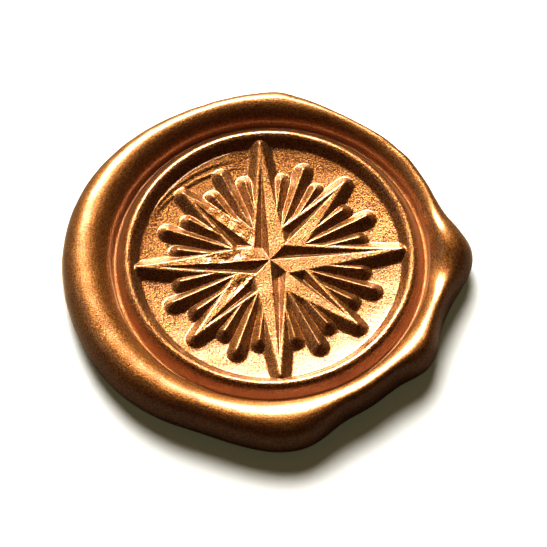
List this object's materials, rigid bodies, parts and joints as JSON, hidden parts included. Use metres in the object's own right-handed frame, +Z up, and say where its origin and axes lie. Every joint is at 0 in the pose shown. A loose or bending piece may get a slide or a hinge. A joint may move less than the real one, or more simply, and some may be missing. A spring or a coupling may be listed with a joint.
{
  "type": "wax seal",
  "caption": "Loose metallic wax seal stamped with a compass rose, with a round adhesive pad on its flat back and a release liner that it lifts off.",
  "frame": {"origin": "on the stamping die's axis, on the underside of the release liner", "axes": "+Z up through the seal, out of its stamped face; +Y along the compass rose's north point; +X along its east point"},
  "size_m": [0.0329, 0.0319, 0.0039],
  "materials": {
    "wax": "satin copper wax with fine metallic grain",
    "pad": "white foam with tacky faces",
    "liner": "smooth silicone-coated kraft paper"
  },
  "bodies": {
    "liner": {"release_liner": "liner"},
    "seal": {"wax_seal": "wax", "adhesive_pad": "pad"}
  },
  "joints": [
    {"name": "seal_lift", "type": "slide", "parent": "liner", "child": "seal", "axis": [0, 0, 1], "range_m": [0, 0.02]}
  ]
}
